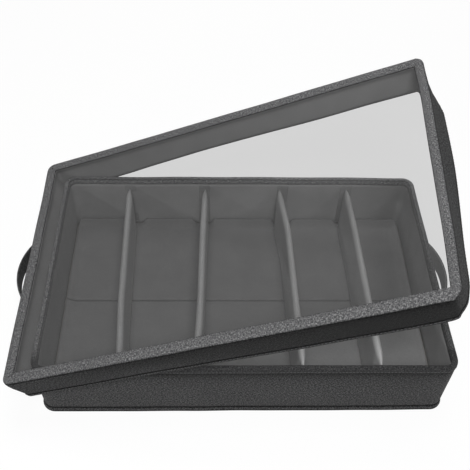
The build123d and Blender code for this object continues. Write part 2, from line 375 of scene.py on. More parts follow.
def heathered_linen(name="heathered_linen_weave", tone=1.0, sheen=0.12, evenness=0.1):
    """Linen-look polyester in a plain weave. Dark, grey and pale yarns lie in short streaks
    both ways, which gives a speckled grey with a soft nap. The more even, the fewer specks."""
    if name in bpy.data.materials:
        return bpy.data.materials[name]
    material, tree = blank_material(name)
    finishes = settings("finishes")
    cloth = add(tree, "ShaderNodeUVMap", uv_map="cloth")
    # The real threads are 0.4 mm apart, too fine to show, so streaks are drawn 0.7 mm wide
    # and 2.2 mm long, first along the warp and then along the weft.
    streaks = []
    for start, size_x, size_y in (((0, 0, 0), 0.0022, 0.0007), ((31, 17, 0), 0.0007, 0.0022)):
        scale = (1 / size_x, 1 / size_y, 1)
        place = add(
            tree,
            "ShaderNodeMapping",
            {"Vector": cloth.outputs["UV"], "Location": start, "Scale": scale},
        )
        streak = add(
            tree,
            "ShaderNodeTexNoise",
            {"Vector": place.outputs["Vector"], "Scale": 1, "Detail": 2, "Roughness": 0.6},
            noise_dimensions="2D",
        )
        streaks.append(streak)
    heather = add(
        tree,
        "ShaderNodeMix",
        {"Factor": 0.5, "A": streaks[0].outputs["Fac"], "B": streaks[1].outputs["Fac"]},
        data_type="FLOAT",
    )
    yarns = add(tree, "ShaderNodeValToRGB", {"Fac": heather.outputs["Result"]})
    ramp = yarns.color_ramp
    ramp.elements[0].position = 0.5 - evenness
    ramp.elements[0].color = opaque(finishes.linen_dark)
    ramp.elements[1].position = 0.5 + evenness
    ramp.elements[1].color = opaque(finishes.linen_light)
    ramp.elements.new(0.5).color = opaque(finishes.linen_middle)
    # Batches of yarn differ a little over some 50 mm.
    drift = add(
        tree,
        "ShaderNodeTexNoise",
        {"Vector": cloth.outputs["UV"], "Scale": 1 / 0.05, "Detail": 1},
        noise_dimensions="2D",
    )
    # Tone gives paler or darker copies of the cloth: the lid's border and the rim use it for painted light,
    # the lid's skirt for painted shade.
    shade = add(
        tree,
        "ShaderNodeMapRange",
        {"Value": drift.outputs["Fac"], "To Min": 0.9 * tone, "To Max": 1.1 * tone},
    )
    # A point attribute paints shade on the cloth: in its seams and grooves, along the hem's lower edge,
    # below the rim, at the rim's front and on the front of the lid's skirt.
    painted_shade = add(tree, "ShaderNodeAttribute", attribute_name="painted_shade")
    painted_darkening = add(
        tree,
        "ShaderNodeMapRange",
        {"Value": painted_shade.outputs["Fac"], "To Min": 1.0, "To Max": 0.14},
    )
    shade = add(
        tree,
        "ShaderNodeMath",
        {0: shade.outputs["Result"], 1: painted_darkening.outputs["Result"]},
        operation="MULTIPLY",
    )
    colour = add(
        tree,
        "ShaderNodeVectorMath",
        {0: yarns.outputs["Color"], "Scale": shade.outputs["Value"]},
        operation="SCALE",
    )
    # Crossed threads, drawn 1.3 mm apart so that they show. A wave texture at a scale of 0.314
    # has one band a unit.
    waves = []
    for direction in ("X", "Y"):
        wave = add(
            tree,
            "ShaderNodeTexWave",
            {"Vector": cloth.outputs["UV"], "Scale": 0.314 / 0.0013, "Distortion": 0.4},
            bands_direction=direction,
        )
        waves.append(wave)
    threads = add(
        tree,
        "ShaderNodeMath",
        {0: waves[0].outputs["Fac"], 1: waves[1].outputs["Fac"]},
        operation="ADD",
    )
    height = add(
        tree,
        "ShaderNodeMath",
        {0: heather.outputs["Result"], 1: 4.0, 2: threads.outputs["Value"]},
        operation="MULTIPLY_ADD",
    )
    bump = add(
        tree,
        "ShaderNodeBump",
        {"Height": height.outputs["Value"], "Strength": 0.5, "Distance": 0.00025},
    )
    roughness = add(
        tree,
        "ShaderNodeMapRange",
        {"Value": heather.outputs["Result"], "To Min": 0.98, "To Max": 0.8},
    )
    shader = add(
        tree,
        "ShaderNodeBsdfPrincipled",
        {
            "Base Color": colour.outputs["Vector"],
            "Roughness": roughness.outputs["Result"],
            "Normal": bump.outputs["Normal"],
            "IOR": 1.45,
            "Specular IOR Level": 0.3,
            "Sheen Weight": sheen,
            "Sheen Roughness": 0.5,
        },
    )
    add(tree, "ShaderNodeOutputMaterial", {"Surface": shader.outputs["BSDF"]})
    return material


def linen_binding():
    """The same linen-look cloth pressed flat in a narrow folded band. It has a paler tone, which paints the
    light on the lid's top."""
    return heathered_linen("pressed_linen_binding", 2.0, evenness=0.18)


def rim_linen():
    """The linen-look cloth of the rim binding, pressed hard over the edge. Its very pale tone paints light
    on it, which painted shade takes off again at the sides and front."""
    return heathered_linen("worn_linen_binding", 4.4, evenness=0.18)


def skirt_linen():
    """The linen-look cloth of the lid's skirt and of the left strap's inner side. It has a darker tone and
    less sheen, which paint shade on them."""
    return heathered_linen("dark_linen_weave", 0.72, sheen=0.03)


def fibre_cloth(name, colour_key, fibre, contrast, rough, relief=0.2 * MM):
    """Nonwoven polyester: matted fibres with no thread direction, softly mottled. The real
    fibres are some 0.03 mm thick, too fine to show, so clumps of them are drawn 1 to 2 mm
    wide. Fibre is the width of a clump in metres."""
    if name in bpy.data.materials:
        return bpy.data.materials[name]
    material, tree = blank_material(name)
    base = getattr(settings("finishes"), colour_key)
    cloth = add(tree, "ShaderNodeUVMap", uv_map="cloth")
    fibres = add(
        tree,
        "ShaderNodeTexNoise",
        {
            "Vector": cloth.outputs["UV"],
            "Scale": 1 / fibre,
            "Detail": 4,
            "Roughness": 0.7,
            "Distortion": 1.2,
        },
        noise_dimensions="2D",
    )
    # The mat is thicker in some places than in others, over some 25 mm.
    mat = add(
        tree,
        "ShaderNodeTexNoise",
        {"Vector": cloth.outputs["UV"], "Scale": 1 / 0.025, "Detail": 2},
        noise_dimensions="2D",
    )
    mottle = add(
        tree,
        "ShaderNodeMix",
        {"Factor": 0.35, "A": fibres.outputs["Fac"], "B": mat.outputs["Fac"]},
        data_type="FLOAT",
    )
    shade = add(
        tree,
        "ShaderNodeMapRange",
        {
            "Value": mottle.outputs["Result"],
            "From Min": 0.3,
            "From Max": 0.7,
            "To Min": 1 - contrast,
            "To Max": 1 + contrast,
        },
    )
    colour = add(
        tree,
        "ShaderNodeVectorMath",
        {0: base, "Scale": shade.outputs["Result"]},
        operation="SCALE",
    )
    bump = add(
        tree,
        "ShaderNodeBump",
        {"Height": mottle.outputs["Result"], "Strength": 0.4, "Distance": relief},
    )
    roughness = add(
        tree,
        "ShaderNodeMapRange",
        {"Value": fibres.outputs["Fac"], "To Min": rough + 0.08, "To Max": rough - 0.08},
    )
    shader = add(
        tree,
        "ShaderNodeBsdfPrincipled",
        {
            "Base Color": colour.outputs["Vector"],
            "Roughness": roughness.outputs["Result"],
            "Normal": bump.outputs["Normal"],
            "IOR": 1.45,
            "Specular IOR Level": 0.3,
            "Sheen Weight": 0.1,
            "Sheen Roughness": 0.5,
        },
    )
    add(tree, "ShaderNodeOutputMaterial", {"Surface": shader.outputs["BSDF"]})
    return material


def nonwoven_lining():
    """Thin nonwoven lining. It reads as an even light grey with a faint fibre grain."""
    return fibre_cloth("nonwoven_lining", "lining", 1.6 * MM, contrast=0.1, rough=0.88)


def insert_nonwoven():
    """Firmer nonwoven on the floor insert, a shade darker than the lining."""
    return fibre_cloth("insert_nonwoven", "insert", 1.8 * MM, contrast=0.1, rough=0.9)


def divider_felt():
    """The dividers' softer, paler nonwoven, with a slightly longer fibre."""
    return fibre_cloth(
        "divider_felt", "divider", 2.2 * MM, contrast=0.08, rough=0.9, relief=0.3 * MM
    )


def hook_and_loop_tape():
    """Hook and loop tape. Its pile of small hooks and loops scatters light, so it reads as
    dull and grainy."""
    return fibre_cloth(
        "loop_tape_pile", "tape", 1.2 * MM, contrast=0.3, rough=0.92, relief=0.6 * MM
    )


def flecked(name, colour_key, grain, contrast, relief, finish):
    """A stuff with fine flecks all through it. Grain, relief and finish hold the inputs of
    the noise, the bump and the shader that are its own."""
    if name in bpy.data.materials:
        return bpy.data.materials[name]
    material, tree = blank_material(name)
    place = add(tree, "ShaderNodeTexCoord")
    flecks = add(tree, "ShaderNodeTexNoise", {"Vector": place.outputs["Object"], **grain})
    shade = add(
        tree,
        "ShaderNodeMapRange",
        {"Value": flecks.outputs["Fac"], "To Min": 1 - contrast, "To Max": 1 + contrast},
    )
    base = getattr(settings("finishes"), colour_key)
    colour = add(
        tree,
        "ShaderNodeVectorMath",
        {0: base, "Scale": shade.outputs["Result"]},
        operation="SCALE",
    )
    bump = add(tree, "ShaderNodeBump", {"Height": flecks.outputs["Fac"], **relief})
    shader = add(
        tree,
        "ShaderNodeBsdfPrincipled",
        {
            "Base Color": colour.outputs["Vector"],
            "Normal": bump.outputs["Normal"],
            **finish,
        },
    )
    add(tree, "ShaderNodeOutputMaterial", {"Surface": shader.outputs["BSDF"]})
    return material


def sewing_thread():
    """Spun polyester thread. It has a little more shine than the cloth round it."""
    return flecked(
        "spun_polyester_thread",
        "thread",
        # One turn of the thread's twist is some 0.9 mm long.
        grain={"Scale": 1 / 0.0009, "Detail": 2},
        contrast=0.25,
        relief={"Strength": 0.4, "Distance": 0.0002},
        finish={"Roughness": 0.6, "Sheen Weight": 0.2},
    )


def greyboard():
    """Board pressed from waste paper. Its cut faces are flecked with dark and pale fibres."""
    return flecked(
        "recycled_greyboard",
        "board",
        # Flecks of pulp are some 3 mm across.
        grain={"Scale": 1 / 0.003, "Detail": 5, "Roughness": 0.7},
        contrast=0.3,
        relief={"Strength": 0.3, "Distance": 0.0003},
        finish={"Roughness": 0.95},
    )


def clear_vinyl_film():
    """Soft clear vinyl. It takes a little light out of the view and has a broad, faint gloss."""
    material, tree = blank_material("clear_vinyl_film")
    finishes = settings("finishes")
    cloth = add(tree, "ShaderNodeUVMap", uv_map="cloth")
    # Handling leaves soft smears some 30 mm across.
    smears = add(
        tree,
        "ShaderNodeTexNoise",
        {"Vector": cloth.outputs["UV"], "Scale": 1 / 0.03, "Detail": 3, "Roughness": 0.55},
        noise_dimensions="2D",
    )
    roughness = add(
        tree,
        "ShaderNodeMapRange",
        {"Value": smears.outputs["Fac"], "To Min": 0.1, "To Max": 0.24},
    )
    bump = add(
        tree,
        "ShaderNodeBump",
        {"Height": smears.outputs["Fac"], "Strength": 0.25, "Distance": 0.0006},
    )
    shader = add(
        tree,
        "ShaderNodeBsdfPrincipled",
        {
            "Base Color": opaque(finishes.film),
            "Roughness": roughness.outputs["Result"],
            "Normal": bump.outputs["Normal"],
            "IOR": 1.53,
            "Alpha": finishes.film_alpha,
        },
    )
    add(tree, "ShaderNodeOutputMaterial", {"Surface": shader.outputs["BSDF"]})
    return material


def rounded(bm, geom, offset, segments, affect="VERTICES"):
    """Rounds off corners, or edges."""
    bmesh.ops.bevel(
        bm,
        geom=geom,
        offset=offset,
        affect=affect,
        segments=segments,
        profile=0.5,
        material=-1,
    )


def round_off(across, along, radius):
    """Where a spot in a square corner goes when the corner is rounded, both measured from
    the middle of the rounding."""
    a = across / radius
    b = along / radius
    return radius * a * math.sqrt(1 - b * b / 2), radius * b * math.sqrt(1 - a * a / 2)


def rounded_places(width, depth, radii, step):
    """Places round a rounded rectangle, with X outwards, Y along the edge and Z up. The radii
    are those of the front left, front right, back left and back right corners."""
    bm = bmesh.new()
    size = Matrix.Diagonal((width, depth, 1, 1))
    bmesh.ops.create_grid(bm, x_segments=1, y_segments=1, size=0.5, matrix=size)
    corners = sorted(bm.verts, key=lambda v: (v.co.y, v.co.x))
    for corner, radius in zip(corners, radii):
        rounded(bm, [corner], radius, segments=10)
    bmesh.ops.delete(bm, geom=bm.faces[:], context="FACES_ONLY")
    for edge in bm.edges[:]:
        cuts = int(edge.calc_length() / step)
        if cuts:
            bmesh.ops.subdivide_edges(bm, edges=[edge], cuts=cuts)
    places = []
    for vert in sorted(bm.verts, key=lambda v: math.atan2(v.co.y, v.co.x)):
        radius = radii[(2 if vert.co.y > 0 else 0) + (1 if vert.co.x > 0 else 0)]
        x_core = min(max(vert.co.x, radius - width / 2), width / 2 - radius)
        y_core = min(max(vert.co.y, radius - depth / 2), depth / 2 - radius)
        out = (vert.co - Vector((x_core, y_core, 0))).normalized()
        turn = Matrix.Rotation(math.atan2(out.y, out.x), 4, "Z")
        places.append(Matrix.Translation(vert.co) @ turn)
    bm.free()
    return places


def strap_places(reach, half_span, side):
    """Places along a strap, from one sewn end to the other, with X away from the wall. Each
    end curves out until it is root_reach from the wall, and one long arc joins them."""
    sizes = settings("straps")
    thickness = sizes.thickness
    root_reach = 0.012
    rise = reach - root_reach
    arc = (half_span**2 + rise**2) / (2 * rise)
    swing = math.asin(half_span / arc)
    root = (root_reach - thickness / 2) / (1 - math.cos(swing))
    sewn = sizes.sewn_length
    start_x = settings("tray").width / 2 + thickness / 2
    start_y = sizes.middle + half_span + root * math.sin(swing) + sewn
    place = Matrix.Translation((start_x, start_y, sizes.height))
    runs = [(sewn, 0, 6), (root * swing, swing, 14), (2 * arc * swing, -2 * swing, 48)]
    runs += [(root * swing, swing, 14), (sewn, 0, 6)]
    places = [place]
    for length, turn, steps in runs:
        half_turn = Matrix.Rotation(turn / steps / 2, 4, "Z")
        forward = Matrix.Translation((0, -length / steps, 0))
        for _ in range(steps):
            place = place @ half_turn @ forward @ half_turn
            places.append(place)
    return [Matrix.Diagonal((side, 1, 1, 1)) @ p for p in places]


def swept(section, places, closed):
    """Carries a closed cross-section along a row of places. The cloth map runs along and
    across the strip, in metres. A third number at a point paints shade on the cloth there."""
    columns = len(section)
    rows = len(places) if closed else len(places) - 1
    stops = [places[i % len(places)] for i in range(rows + 1)]
    loop_of_points = section + section[:1]
    spots = [Vector((point[0], 0, point[1])) for point in loop_of_points]
    shades = [point[2] if len(point) > 2 else 0.0 for point in loop_of_points]
    along = [0.0]
    for a, b in zip(stops, stops[1:]):
        along.append(along[-1] + (b.translation - a.translation).length)
    across = [0.0]
    for a, b in zip(spots, spots[1:]):
        across.append(across[-1] + (b - a).length)
    bm = bmesh.new()
    cloth = bm.loops.layers.uv.new("cloth")
    painted_shade = bm.verts.layers.float.new("painted_shade")
    bmesh.ops.create_grid(bm, x_segments=columns, y_segments=rows, size=0.5)
    bm.verts.index_update()
    for vert in bm.verts:
        row, column = divmod(vert.index, columns + 1)
        for loop in vert.link_loops:
            loop[cloth].uv = (along[row], across[column])
        vert[painted_shade] = shades[column]
        vert.co = stops[row] @ spots[column]
    bmesh.ops.remove_doubles(bm, verts=bm.verts[:], dist=1e-6)
    if not closed:
        bmesh.ops.holes_fill(bm, edges=[e for e in bm.edges if e.is_boundary])
    bmesh.ops.recalc_face_normals(bm, faces=bm.faces[:])
    return bm


def in_mm(*points):
    """A cross-section's points, from millimetres to metres."""
    return [(x * MM, z * MM, *shade) for x, z, *shade in points]


def flat_map(bm):
    """Gives each face a cloth map in metres, laid on it from the side that it faces most."""
    cloth = bm.loops.layers.uv.get("cloth") or bm.loops.layers.uv.new("cloth")
    bm.normal_update()
    for face in bm.faces:
        sides = [abs(c) for c in face.normal]
        ignored = sides.index(max(sides))
        for loop in face.loops:
            kept = [c for i, c in enumerate(loop.vert.co) if i != ignored]
            loop[cloth].uv = kept


def uneven(bm, amount, size=0.06, floor=None):
    """Moves the cloth a little, by the same drift wherever two pieces meet."""
    # Without a seed of its own the drift would be another one in each run.
    noise.seed_set(1)
    for vert in bm.verts:
        vert.co += noise.noise_vector(vert.co / size) * amount
        if floor is not None:
            vert.co.z = max(vert.co.z, floor)


def stitch_row(bm, places, out, up, closed=True):
    """Adds a row of stitches, each a short spindle of thread, at an even pitch."""
    stitch = settings("stitching")
    size = Matrix.Diagonal((stitch.thickness / 2, stitch.length / 2, stitch.thickness / 2, 1))
    stops = places + places[:1] if closed else places
    left_over = stitch.pitch / 2
    for a, b in zip(stops, stops[1:]):
        start = a @ Vector((out, 0, up))
        end = b @ Vector((out, 0, up))
        length = (end - start).length
        while left_over < length:
            share = left_over / length
            place = a.lerp(b, share)
            place.translation = start.lerp(end, share)
            bmesh.ops.create_icosphere(bm, subdivisions=1, radius=1, matrix=place @ size)
            left_over += stitch.pitch
        left_over -= length


def show(name, bm, material, place=None):
    """Makes the piece's object, with its place in its mesh."""
    for face in bm.faces:
        face.smooth = True
    mesh = bpy.data.meshes.new(name)
    bm.to_mesh(mesh)
    bm.free()
    if place is not None:
        mesh.transform(place)
    mesh.materials.append(material)
    piece = bpy.data.objects.new(name, mesh)
    bpy.context.scene.collection.objects.link(piece)
    return piece


def attach(piece, body, slot, *nodes):
    """Puts a piece on the body that carries it and hides the solids that it stands for. The slot is not
    used.
    """
    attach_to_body(piece, body)
    if nodes:
        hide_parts(*nodes)


def tray_piece(name, bm, material, slot, *nodes):
    """Lets a piece of the tray stray a little from its boards, and makes it."""
    uneven(bm, settings("tray").unevenness, floor=0)
    piece = show(name, bm, material)
    attach(piece, "tray", slot, *nodes)
    return piece


def lid_piece(name, bm, material, slot, *nodes):
    """Slackens a piece of the lid, lets it stray a little, and makes it where the lid is."""
    slacken(bm)
    uneven(bm, settings("lid").unevenness)
    piece = show(name, bm, material, lid_rest())
    attach(piece, "lid", slot, *nodes)
    return piece


def tray_places(step=0.006):
    """Places round the outside of the tray's walls."""
    sizes = settings("tray")
    return rounded_places(sizes.width, sizes.depth, [sizes.corner] * 4, step)


def lid_places(step=0.006, looseness=0.73):
    """Places round the outside of the lid, seen flat. The loose front right corner is
    rounder than the others, which are drawn tight by their seams."""
    sizes = settings("lid")
    tight = sizes.corner * 0.5
    loose = sizes.corner * looseness
    return rounded_places(sizes.width, sizes.depth, [tight, loose, tight, tight], step)


def eased(value, start, end):
    """From 0 at start to 1 at end, with a soft beginning and end."""
    share = min(1, max(0, (value - start) / (end - start)))
    return share * share * (3 - 2 * share)


def slacken(bm):
    """Lets the loose lid go out of true. All shifts are in millimetres."""
    sizes = settings("lid")
    half_width = sizes.width / 2 / MM
    half_depth = sizes.depth / 2 / MM
    for vert in bm.verts:
        x, y, z = (c / MM for c in vert.co)
        right = (x / half_width + 1) / 2
        back = (y / half_depth + 1) / 2
        # Each corner of the top has gone its own way, and the edges follow.
        left_end = -1.7 + 2.0 * back
        right_end = -2.0 + 9.5 * back
        shift_x = left_end + (right_end - left_end) * right
        front_edge = -2.6 + 1.5 * right
        back_edge = -1.5 + 4.9 * right
        shift_y = front_edge + (back_edge - front_edge) * back
        # The border's inner edge at the right is drawn outwards, and that whole end bows out.
        shift_x += 3.0 * eased(x, 184, 195.5) * (1 - eased(x, 196, 203))
        shift_x += 2.0 * eased(x, 170, 204) * (1 - abs(2 * back - 1) ** 2)
        # The free right end's skirt flares out, most of all behind its middle.
        hang = eased(-z, 0, 33)
        flare = 8.0 * eased(y, 116, 84) - 6.5 * eased(y, 100, 126) - 4.0 * eased(y, 30, -80)
        shift_x += hang * eased(x, 170, 204) * flare
        # The front and back of the skirt lean in as far as the tray leaves room for.
        shift_y += hang * (4.0 - 1.3 * eased(x, -90, 120)) * eased(y, -90, -128)
        shift_y -= hang * 3.6 * eased(x, -20, 120) * eased(y, 90, 128)
        # The back of the skirt sags at its left, and the loose front right corner is pushed in.
        sag = 5 * hang * eased(y, 116, 126) * eased(x, 60, -190)
        corner = hang * eased(x, 176, 206) * eased(y, -100, -132)
        shift_x -= 3.5 * corner
        shift_y += 1.5 * corner
        vert.co += Vector((shift_x, shift_y, -sag)) * MM


def lid_rest():
    """Where the flat lid goes: closed on the tray, then tilted as its hinge holds it."""
    hinge = next(j for j in frame["joints"] if j["name"] == "lid_tilt")
    middle = Matrix.Translation(hinge["pos_m"])
    tilt = Matrix.Rotation(math.radians(-hinge["range_deg"][0]), 4, Vector(hinge["axis"]))
    seat = Matrix.Translation((0, 0, settings("lid").seat))
    return middle @ tilt @ middle.inverted() @ seat


class STORAGEBOX_OT_tray_outside(bpy.types.Operator):
    """Make the tray's outer cover, its hem and the cloth under it"""

    bl_idname = "storage_box.tray_outside"
    bl_label = "Tray outside"

    def execute(self, context):
        sizes = settings("tray")
        places = tray_places()
        # The cover is drawn in at the hem and under the rim binding. Its third numbers paint shade in both
        # grooves and over some 25 mm below the rim.
        cover = in_mm(
            (-0.75, 6.1, 1), (-0.35, 6.3, 1), (0.05, 6.9, 1), (0.25, 7.9, 0.8), (0.38, 9, 0),
            (0.45, 20), (0.45, 36), (0.42, 48, 0.06), (0.34, 58, 0.22), (0.25, 65, 0.5),
            (0.1, 69, 0.8), (-0.1, 70.2, 0.9), (-0.4, 71.2, 1), (-0.75, 71.4, 1), (-0.8, 38),
        )
        bm = swept(cover, places, closed=True)
        tray_piece("tray_cover", bm, heathered_linen(), "linen", "base_cover")

        # The hem's third numbers paint shade in its groove under the cover and a shadow along its lower
        # edge, where it meets the floor.
        hem = in_mm(
            (-0.7, 0.2, 1), (0.6, 0, 1), (1.4, 0.1, 1), (1.75, 0.6, 1), (1.8, 1.3, 1),
            (1.6, 1.9, 0.9), (1.4, 2.5, 0.1), (1.3, 3.4), (1.1, 4.6, 0.1), (0.65, 5.6, 0.7),
            (-0.1, 6.1, 1), (-0.8, 6.1, 1), (-0.85, 2),
        )
        bm = swept(hem, places, closed=True)
        tray_piece("tray_hem", bm, heathered_linen(), "linen", "base_hem")

        bm = bmesh.new()
        width = sizes.width - 1.6 * MM
        depth = sizes.depth - 1.6 * MM
        inner = Matrix.Diagonal((width, depth, 1, 1))
        bmesh.ops.create_grid(bm, x_segments=1, y_segments=1, size=0.5, matrix=inner)
        rounded(bm, bm.verts[:], sizes.corner - 0.8 * MM, segments=10)
        bmesh.ops.translate(bm, verts=bm.verts[:], vec=(0, 0, 0.8 * MM))
        grown = bmesh.ops.extrude_face_region(bm, geom=bm.faces[:], use_keep_orig=True)["geom"]
        lower = [v for v in grown if isinstance(v, bmesh.types.BMVert)]
        bmesh.ops.translate(bm, verts=lower, vec=(0, 0, -0.7 * MM))
        bmesh.ops.recalc_face_normals(bm, faces=bm.faces[:])
        under = [f for f in bm.faces if f.normal.z < -0.9]
        bmesh.ops.inset_region(bm, faces=under, thickness=6 * MM, depth=0, use_boundary=True)
        flat_map(bm)
        piece = show("tray_underside", bm, nonwoven_lining())
        attach(piece, "tray", "linen", "base_underside")
        return {"FINISHED"}


class STORAGEBOX_OT_rim(bpy.types.Operator):
    """Make the binding folded over the rim, with its two rows of stitching"""

    bl_idname = "storage_box.rim"
    bl_label = "Rim binding"

    def execute(self, context):
        places = tray_places(step=0.004)
        # The third numbers paint shade in the fold along the binding's inner top edge and in the grooves at
        # its two ends.
        binding = in_mm(
            (-0.7, 71, 1), (0.1, 70.9, 1), (0.6, 71.5, 0.6), (0.7, 72.6), (0.62, 75.4),
            (0.1, 77.1), (-0.9, 78), (-2.3, 78.3), (-3.7, 78, 0.2), (-4.7, 77.1, 0.85),
            (-5.1, 76, 0.2), (-5.3, 74.4), (-5.3, 72.6, 0.2), (-5.25, 71.2, 0.3),
            (-5.1, 70.3, 0.9), (-4.7, 69.9, 1), (-3.9, 70), (-3.75, 77), (-0.85, 77),
        )
        bm = swept(binding, places, closed=True)
        # Painted shade on the rim: none along the back, a little along the sides, and most along the front
        # and the front half of the right side.
        painted_shade = bm.verts.layers.float["painted_shade"]
        for vert in bm.verts:
            x, y = vert.co.xy / MM
            rim_shade = 0.3 * eased(y, 120, 100) + 0.68 * eased(y, -100, -120)
            rim_shade += 0.55 * eased(x, 190, 195) * eased(y, 60, -30)
            vert[painted_shade] = max(vert[painted_shade], min(0.98, rim_shade))
        tray_piece("rim_binding_cloth", bm, rim_linen(), "linen", "rim_binding")

        bm = bmesh.new()
        stitch_row(bm, places, 0.72 * MM, 72.9 * MM)
        stitch_row(bm, places, -5.1 * MM, 72.2 * MM)
        tray_piece("rim_stitching", bm, sewing_thread(), "linen")
        return {"FINISHED"}


class STORAGEBOX_OT_inside(bpy.types.Operator):
    """Make the lining, the two halves of the floor insert and the loop tape"""

    bl_idname = "storage_box.inside"
    bl_label = "Tray inside"

    def execute(self, context):
        sizes = settings("tray")
        # The lining sinks 0.9 mm into the side walls' fold line, over 4 mm to each side of it.
        creased = []
        for place in tray_places(step=0.0025):
            x, y = place.translation.xy
            near = max(0, 1 - abs(y - sizes.fold) / 0.004)
            depth = near * 0.9 * MM if abs(x) > sizes.width / 2 - 1 * MM else 0
            creased.append(place @ Matrix.Translation((depth, 0, 0)))
        lining = in_mm(
            (-3.8, 3.9), (-3.8, 70.4), (-4.7, 70.4), (-4.95, 66), (-5.1, 55), (-5.2, 40),
            (-5.15, 25), (-5.0, 12), (-4.7, 6), (-4.6, 3.9),
        )
        bm = swept(lining, creased, closed=True)
        tray_piece("tray_lining", bm, nonwoven_lining(), "lining", "base_lining")

        for half, node in ((-1, "floor_insert_front"), (1, "floor_insert_back")):
            low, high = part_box(node)
            piece = show(node + "_cloth", insert_half(low, high, half), insert_nonwoven())
            attach(piece, "tray", "lining", node)

        for node in ("loop_strips_front", "loop_strips_back"):
            low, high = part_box(node)
            bm = bmesh.new()
            for place, turn in zip(divider_places(), settings("dividers").turns):
                shift = (low.y + high.y) / 2 * math.tan(math.radians(turn))
                tape_strip(bm, place - shift, low, high, width=13 * MM)
            flat_map(bm)
            piece = show(node + "_tape", bm, hook_and_loop_tape())
            attach(piece, "tray", "hook_tape", node)
        return {"FINISHED"}


def divider_places():
    """Where the four dividers stand, from left to right."""
    boxes = [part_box(f"divider_{n}_cover") for n in (1, 2, 3, 4)]
    return [(low.x + high.x) / 2 for low, high in boxes]


def tape_strip(bm, place, low, high, width):
    """Adds one strip of tape with soft edges."""
    middle = Vector((place, (low.y + high.y) / 2, (low.z + high.z) / 2))
    size = Matrix.Diagonal((width, high.y - low.y, high.z - low.z, 1))
    made = bmesh.ops.create_cube(bm, size=1, matrix=Matrix.Translation(middle) @ size)
    edges = {e for v in made["verts"] for e in v.link_edges}
    rounded(bm, list(edges), 0.25 * MM, segments=2, affect="EDGES")


def ridden_up(distance, height, reach):
    """How far the floor insert has ridden up at a distance from a wall."""
    return height * max(0, 1 - distance / reach) ** 1.2


def insert_half(low, high, half):
    """One half of the floor insert: lined board with a soft edge all round, which rides up a
    little where it meets the walls. Half is -1 for the front one and 1 for the back one."""
    bm = bmesh.new()
    width = high.x - low.x
    depth = high.y - low.y
    middle = (low + high) / 2
    corner = 4.9 * MM
    size = Matrix.Translation(middle) @ Matrix.Diagonal((width, depth, 1, 1))
    bmesh.ops.create_grid(bm, x_segments=160, y_segments=64, size=0.5, matrix=size)
    for vert in bm.verts:
        across = abs(vert.co.x - middle.x) - (width / 2 - corner)
        along = (vert.co.y - middle.y) * half - (depth / 2 - corner)
        if across > 0 and along > 0:
            across, along = round_off(across, along, corner)
            side = math.copysign(width / 2 - corner + across, vert.co.x - middle.x)
            vert.co.x = middle.x + side
            vert.co.y = middle.y + half * (depth / 2 - corner + along)
    top = bm.verts[:]
    grown = bmesh.ops.extrude_face_region(bm, geom=bm.faces[:], use_keep_orig=True)["geom"]
    under = {v for v in grown if isinstance(v, bmesh.types.BMVert)}
    nearest = divider_places()
    for vert in top:
        to_side = width / 2 - abs(vert.co.x - middle.x)
        to_wall = depth / 2 - (vert.co.y - middle.y) * half
        to_fold = depth / 2 + (vert.co.y - middle.y) * half
        edge = min(to_side, to_wall, to_fold)
        # The edge rolls down by 1 mm over its last 1.6 mm.
        roll = 1 - min(1, edge / (1.6 * MM))
        lift = max(
            ridden_up(to_wall, height=8.6 * MM, reach=9 * MM),
            ridden_up(to_side, height=4.5 * MM, reach=8 * MM),
        )
        # The dividers hold the insert down.
        beside = min(abs(vert.co.x - place) for place in nearest)
        lift *= eased(beside, 7 * MM, 14 * MM)
        vert.co.z = high.z + lift - 1.0 * MM * roll * roll
    for vert in under:
        vert.co.z = low.z
    bmesh.ops.recalc_face_normals(bm, faces=bm.faces[:])
    flat_map(bm)
    return bm


class STORAGEBOX_OT_dividers(bpy.types.Operator):
    """Make the four dividers: soft cover, hook tape on both ends and the board inside"""

    bl_idname = "storage_box.dividers"
    bl_label = "Dividers"

    def execute(self, context):
        sizes = settings("dividers")
        tape = 0.6 * MM
        for number in (1, 2, 3, 4):
            body = f"divider_{number}"
            bends = (sizes.back_bends[number - 1], sizes.front_bends[number - 1])
            low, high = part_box(body + "_cover")
            turn = Matrix.Rotation(math.radians(sizes.turns[number - 1]), 4, "Z")
            rest = Matrix.Translation(((low.x + high.x) / 2, 0, 0)) @ turn
            bm = divider_leaf(low, high)
            bend_ends(bm, *bends)
            flat_map(bm)
            piece = show(body + "_felt", bm, divider_felt(), rest)
            attach(piece, body, "divider_cloth", body + "_cover")

            low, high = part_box(body + "_tabs")
            bm = bmesh.new()
            for start in (low.y + tape, high.y - 2 * tape):
                lower = Vector((0, start, low.z))
                upper = Vector((0, start + tape, high.z))
                tape_strip(bm, 0, lower, upper, width=5.6 * MM)
            bend_ends(bm, *bends)
            flat_map(bm)
            piece = show(body + "_tape", bm, hook_and_loop_tape(), rest)
            attach(piece, body, "hook_tape", body + "_tabs")

            # The board bends inside its cover, and is pressed thin at its ends.
            board = body + "_board"
            bm = cut_board(frame["nodes"][board], rest, ((1, 0.12, 0.005), (2, 0.07, 0.014)))
            for vert in bm.verts:
                vert.co.x *= divider_tip((high.y - low.y) / 2 - abs(vert.co.y))
            bend_ends(bm, *bends)
            piece = show(board + "_bent", bm, greyboard(), rest)
            attach(piece, body, "greyboard", board)
        return {"FINISHED"}


def divider_tip(from_end):
    """How thick a divider is at a distance from its end, as a share of its full thickness.
    It is pressed down to a quarter over its last 18 mm."""
    return 1 - 0.75 * eased(from_end, 0.018, 0)


